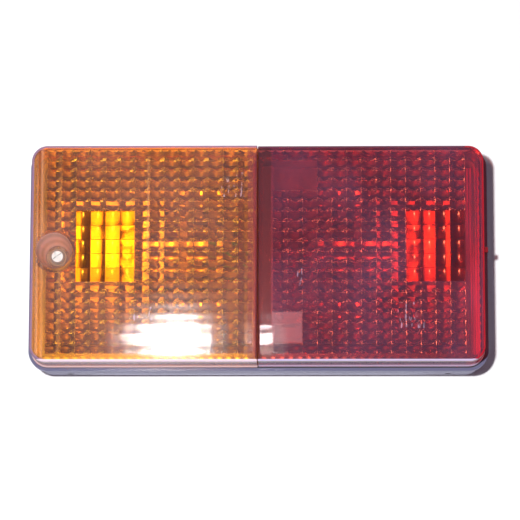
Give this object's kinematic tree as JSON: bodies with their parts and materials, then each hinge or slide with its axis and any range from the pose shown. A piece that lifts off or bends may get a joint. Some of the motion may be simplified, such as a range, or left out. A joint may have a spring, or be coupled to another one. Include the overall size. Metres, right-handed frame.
{
  "type": "tail light cluster",
  "caption": "Rectangular rear lamp with an amber indicator lens and a red stop and tail lens side by side on a black moulded base, bulbs and wiring inside.",
  "frame": {"origin": "middle of the base's flat back face", "axes": "+X along the lamp towards the red lens, +Y across the lamp, +Z out of the lenses"},
  "size_m": [0.204, 0.1004, 0.045],
  "materials": {
    "black_gloss_plastic": "moulded, glossy",
    "amber_plastic": "clear amber moulding, polished face",
    "red_plastic": "clear red moulding, polished face",
    "black_rubber": "matt",
    "black_matt_plastic": "matt",
    "zinc_plate": "zinc plated sheet",
    "nickel_plate": "bright nickel plate",
    "aluminium": "plain",
    "bright_aluminium": "polished",
    "brown_laminate": "pressed laminate",
    "brass": "turned",
    "cap_glass": "fused black insulator",
    "bulb_glass": "clear",
    "tungsten": "drawn wire",
    "green_insulation": "extruded sleeve",
    "red_insulation": "extruded sleeve",
    "brown_insulation": "extruded sleeve"
  },
  "bodies": {
    "root": {"base_housing": "black_gloss_plastic", "amber_lens": "amber_plastic", "red_lens": "red_plastic", "lens_seal": "black_rubber", "light_partition": "black_matt_plastic", "bulb_carrier": "zinc_plate", "carrier_rivets": "aluminium", "indicator_socket": "nickel_plate", "stop_tail_socket": "nickel_plate", "indicator_insulator": "brown_laminate", "stop_tail_insulator": "brown_laminate", "socket_springs": "zinc_plate", "indicator_contact": "brass", "stop_tail_contacts": "brass", "indicator_bulb_cap": "nickel_plate", "stop_tail_bulb_cap": "nickel_plate", "bulb_cap_insulators": "cap_glass", "indicator_bulb_glass": "bulb_glass", "stop_tail_bulb_glass": "bulb_glass", "indicator_filament": "tungsten", "stop_tail_filaments": "tungsten", "indicator_reflector": "bright_aluminium", "stop_tail_reflector": "bright_aluminium", "terminal_block": "black_matt_plastic", "terminal_barrels": "brass", "terminal_screws": "zinc_plate", "indicator_lead": "green_insulation", "stop_lead": "red_insulation", "tail_lead": "brown_insulation", "cable_grommet": "black_rubber", "lens_screw": "nickel_plate", "screw_washer": "black_rubber", "screw_insert": "brass"}
  },
  "joints": []
}
